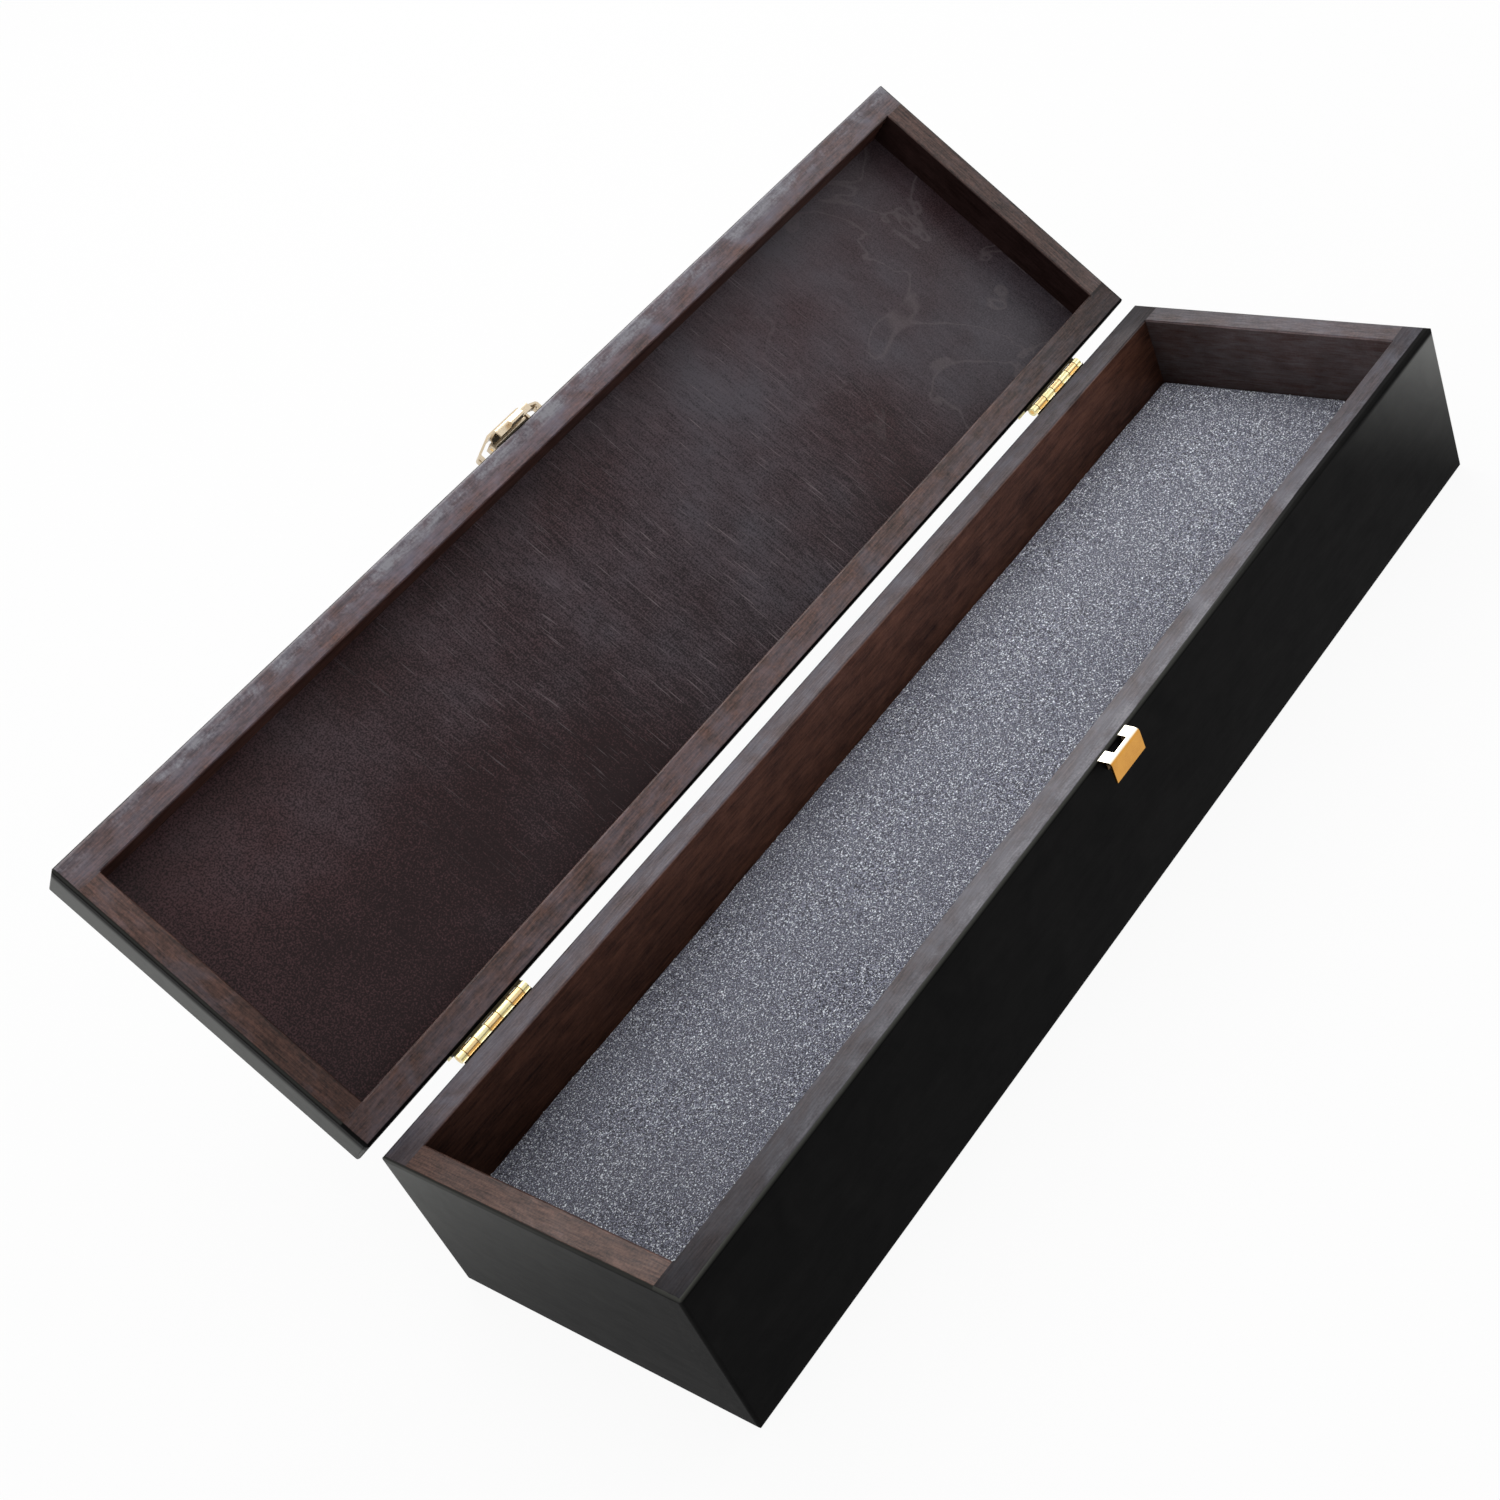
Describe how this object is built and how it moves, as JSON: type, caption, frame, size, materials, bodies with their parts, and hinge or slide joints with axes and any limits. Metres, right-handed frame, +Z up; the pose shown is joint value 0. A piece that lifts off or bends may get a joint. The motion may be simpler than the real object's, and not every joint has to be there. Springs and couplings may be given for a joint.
{
  "type": "knife presentation box",
  "caption": "Long slim wooden presentation box for a knife: a foam bed in the base, a shallow lid on brass hinges and a sprung brass push catch at the front.",
  "frame": {"origin": "centre of the base's underside", "axes": "+X along the length, towards the right end seen from the front; -Y towards the front, where the catch is; +Z up"},
  "size_m": [0.41, 0.2172, 0.1495],
  "materials": {
    "box_wood": "satin black paint outside, dark walnut stain on the rims and inside",
    "panel_wood": "dark walnut stain, satin",
    "foam": "speckled blue-grey foam, matte",
    "brass": "polished",
    "spring_steel": "satin"
  },
  "bodies": {
    "base": {"front_board": "box_wood", "back_board": "box_wood", "left_end_board": "box_wood", "right_end_board": "box_wood", "bottom_panel": "box_wood", "foam_insert": "foam", "left_hinge_base_leaf": "brass", "right_hinge_base_leaf": "brass", "base_hinge_screws": "brass", "keeper": "brass"},
    "lid": {"lid_front_rail": "box_wood", "lid_back_rail": "box_wood", "lid_left_rail": "box_wood", "lid_right_rail": "box_wood", "lid_panel": "panel_wood", "left_hinge_lid_leaf": "brass", "left_hinge_pin": "brass", "right_hinge_lid_leaf": "brass", "right_hinge_pin": "brass", "lid_hinge_screws": "brass", "latch_bridge": "brass", "latch_pin": "brass", "latch_spring": "spring_steel"},
    "latch": {"latch_lever": "brass"}
  },
  "joints": [
    {"name": "lid_hinge", "type": "hinge", "parent": "base", "child": "lid", "pos_m": [0, 0.0609, 0.05715], "axis": [-1, 0, 0], "range_deg": [-132, 58]},
    {"name": "catch_press", "type": "hinge", "parent": "lid", "child": "latch", "pos_m": [0, 0.14907, 0.14139], "axis": [1, 0, 0], "range_deg": [0, 4.5], "stiffness_Nm_per_rad": 0.1, "springref_deg": -4.58}
  ]
}
